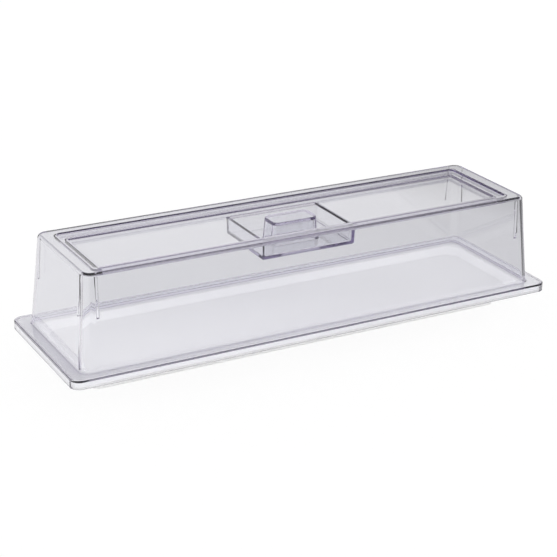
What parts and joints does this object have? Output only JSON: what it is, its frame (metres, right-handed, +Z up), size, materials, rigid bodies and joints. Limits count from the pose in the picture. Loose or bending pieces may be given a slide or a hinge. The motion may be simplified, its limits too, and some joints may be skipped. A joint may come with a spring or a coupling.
{
  "type": "gastronorm food cover",
  "caption": "Clear gastronorm food cover with a stepped roof and a sunk finger grip, lifting straight off its shallow white display tray on a recessed foot.",
  "frame": {"origin": "middle of the tray's footprint, on the table", "axes": "+X along the long side, +Y across to the back, +Z up"},
  "size_m": [0.53, 0.162, 0.1253],
  "materials": {
    "clear_plastic": "clear, polished",
    "white_melamine": "gloss"
  },
  "bodies": {
    "tray": {"display_tray": "white_melamine"},
    "cover": {"clear_cover": "clear_plastic"}
  },
  "joints": [
    {"name": "cover_lift", "type": "slide", "parent": "tray", "child": "cover", "axis": [0, 0, 1], "range_m": [0, 0.12]}
  ]
}
